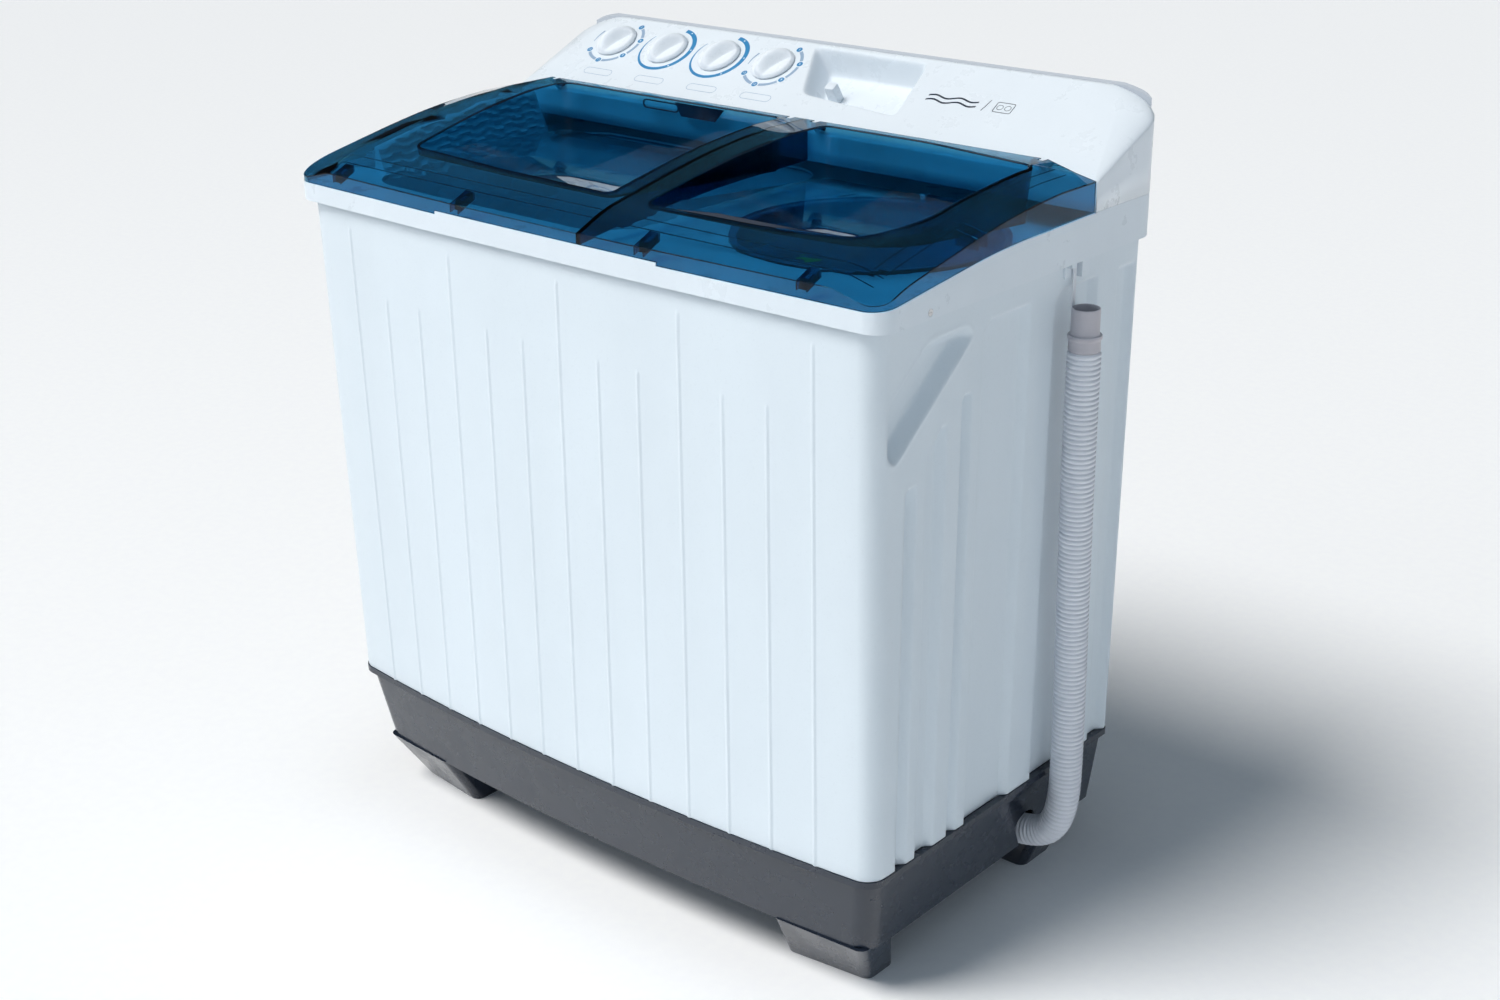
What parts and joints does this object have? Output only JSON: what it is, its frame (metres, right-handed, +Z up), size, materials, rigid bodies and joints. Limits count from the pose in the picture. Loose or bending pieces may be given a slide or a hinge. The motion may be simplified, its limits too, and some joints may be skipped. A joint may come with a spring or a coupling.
{
  "type": "twin tub washer",
  "caption": "Free-standing twin tub washing machine with tinted clear lids over a wash tub and a spin tub, sloping control console, and a drain hose clipped to its side.",
  "frame": {"origin": "on the floor, under the middle of the machine without its hose", "axes": "+Z up, the front faces -Y, +X to the right as seen from the front"},
  "size_m": [0.959, 0.541, 1.008],
  "materials": {
    "base_grey": "moulded polypropylene, fine grain",
    "cabinet_white": "moulded white plastic, light satin",
    "frame_white": "moulded white plastic, satin",
    "panel_white": "moulded white plastic, smooth",
    "cover_grey": "moulded pale grey plastic",
    "lid_blue": "clear blue tinted plastic, polished",
    "inner_lid_clear": "clear bluish plastic",
    "tub_white": "moulded polypropylene",
    "tub_blue": "moulded blue polypropylene",
    "basket_white": "moulded polypropylene",
    "knob_white": "moulded, smooth",
    "switch_body": "unpainted switch housing",
    "hose_grey": "soft corrugated plastic",
    "cuff_grey": "soft moulded plastic",
    "strap_nylon": "natural nylon",
    "black_rubber": "moulded rubber",
    "shaft_steel": "ground",
    "spring_steel": "oiled",
    "screw_steel": "zinc plated",
    "plated_steel": "zinc plated sheet",
    "cast_metal": "as cast",
    "motor_metal": "painted laminations",
    "pulley_plastic": "glass-filled nylon",
    "capacitor_shell": "smooth can"
  },
  "bodies": {
    "machine": {"back_cover": "cabinet_white", "back_cover_screws": "screw_steel", "base": "base_grey", "bellows_seal": "black_rubber", "bracket_posts": "plated_steel", "brake_bracket": "shaft_steel", "cabinet": "cabinet_white", "cable_gland": "black_rubber", "capacitor": "capacitor_shell", "console_rear_cover": "cover_grey", "control_panel": "panel_white", "drain_duct_cover": "tub_white", "drain_elbow": "hose_grey", "drain_hose": "hose_grey", "drain_selector": "switch_body", "drain_valve_body": "tub_white", "drive_belt": "black_rubber", "drive_bracket": "plated_steel", "gearbox_housing": "cast_metal", "hose_cuff": "cuff_grey", "hose_hanger": "strap_nylon", "hose_hook": "frame_white", "inner_drain_pipe": "hose_grey", "lid_hinge_pins": "screw_steel", "shaft_seal": "black_rubber", "spin_casing": "tub_white", "spin_motor": "motor_metal", "spin_motor_plate": "plated_steel", "spin_motor_springs": "spring_steel", "spin_timer": "switch_body", "spring_guides": "black_rubber", "top_frame": "frame_white", "top_frame_screws": "screw_steel", "wash_motor": "motor_metal", "wash_selector": "switch_body", "wash_timer": "switch_body", "wash_tub": "tub_white", "water_inlet": "cover_grey"},
    "wash_lid": {"wash_lid": "lid_blue"},
    "spin_lid": {"spin_lid": "lid_blue"},
    "spin_inner_lid": {"spin_inner_lid": "inner_lid_clear"},
    "brake_lever": {"brake_lever": "plated_steel"},
    "wash_timer_knob": {"wash_timer_knob": "knob_white"},
    "wash_selector_knob": {"wash_selector_knob": "knob_white"},
    "drain_selector_knob": {"drain_selector_knob": "knob_white"},
    "spin_timer_knob": {"spin_timer_knob": "knob_white"},
    "drain_valve": {"drain_valve_stem": "tub_blue", "drain_strap": "strap_nylon"},
    "pulsator": {"pulsator": "tub_white", "pulsator_cap": "tub_white", "wash_shaft": "shaft_steel"},
    "gearbox_pulley": {"gearbox_pulley": "pulley_plastic", "gearbox_input_shaft": "shaft_steel"},
    "motor_pulley": {"motor_pulley": "pulley_plastic", "motor_shaft": "shaft_steel"},
    "spin_basket": {"spin_basket": "basket_white", "balance_ring": "basket_white", "spin_shaft": "shaft_steel", "brake_drum": "cast_metal"},
    "lint_filter": {"lint_filter": "tub_blue"}
  },
  "joints": [
    {"name": "wash_lid_hinge", "type": "hinge", "parent": "machine", "child": "wash_lid", "pos_m": [-0.2105, 0.1255, 0.936], "axis": [-1, 0, 0], "range_deg": [0, 85]},
    {"name": "spin_lid_hinge", "type": "hinge", "parent": "machine", "child": "spin_lid", "pos_m": [0.2545, 0.1255, 0.936], "axis": [-1, 0, 0], "range_deg": [0, 85]},
    {"name": "spin_inner_lid_hinge", "type": "hinge", "parent": "machine", "child": "spin_inner_lid", "pos_m": [0.262, 0.149, 0.865], "axis": [-1, 0, 0], "range_deg": [0, 39]},
    {"name": "brake_lever_pivot", "type": "hinge", "parent": "machine", "child": "brake_lever", "pos_m": [0.332, 0.06, 0.328], "axis": [0, 0, 1], "range_deg": [-2.6, 0]},
    {"name": "wash_timer_turn", "type": "hinge", "parent": "machine", "child": "wash_timer_knob", "pos_m": [-0.367, 0.22171, 0.97928], "axis": [0, 0.5073, -0.8618], "range_deg": [0, 270]},
    {"name": "wash_selector_turn", "type": "hinge", "parent": "machine", "child": "wash_selector_knob", "pos_m": [-0.272, 0.22171, 0.97928], "axis": [0, 0.5073, -0.8618], "range_deg": [0, 120]},
    {"name": "drain_selector_turn", "type": "hinge", "parent": "machine", "child": "drain_selector_knob", "pos_m": [-0.178, 0.22171, 0.97928], "axis": [0, 0.5073, -0.8618], "range_deg": [0, 90]},
    {"name": "spin_timer_turn", "type": "hinge", "parent": "machine", "child": "spin_timer_knob", "pos_m": [-0.085, 0.22171, 0.97928], "axis": [0, 0.5073, -0.8618], "range_deg": [0, 270]},
    {"name": "drain_valve_lift", "type": "slide", "parent": "machine", "child": "drain_valve", "axis": [0, 0, 1], "range_m": [0, 0.012]},
    {"name": "pulsator_spin", "type": "hinge", "parent": "machine", "child": "pulsator", "pos_m": [-0.1875, -0.0025, 0.43], "axis": [0, 0, 1], "continuous": true},
    {"name": "gearbox_pulley_spin", "type": "hinge", "parent": "machine", "child": "gearbox_pulley", "pos_m": [-0.1875, -0.0025, 0.274], "axis": [0, 0, 1], "continuous": true},
    {"name": "motor_pulley_spin", "type": "hinge", "parent": "machine", "child": "motor_pulley", "pos_m": [0.01, 0.11, 0.274], "axis": [0, 0, 1], "continuous": true},
    {"name": "spin_basket_spin", "type": "hinge", "parent": "machine", "child": "spin_basket", "pos_m": [0.262, -0.02, 0.5], "axis": [0, 0, 1], "continuous": true},
    {"name": "lint_filter_slide", "type": "slide", "parent": "machine", "child": "lint_filter", "axis": [0, 0, 1], "range_m": [0, 0.12]}
  ],
  "couplings": [
    {"joint": "spin_inner_lid_hinge", "follows": "spin_lid_hinge", "ratio": 0.45},
    {"joint": "brake_lever_pivot", "follows": "spin_lid_hinge", "ratio": -0.03},
    {"joint": "drain_selector_turn", "follows": "drain_valve_lift", "rad_per_m": 130},
    {"joint": "gearbox_pulley_spin", "follows": "pulsator_spin", "ratio": 4.5},
    {"joint": "motor_pulley_spin", "follows": "pulsator_spin", "ratio": 11.25}
  ]
}
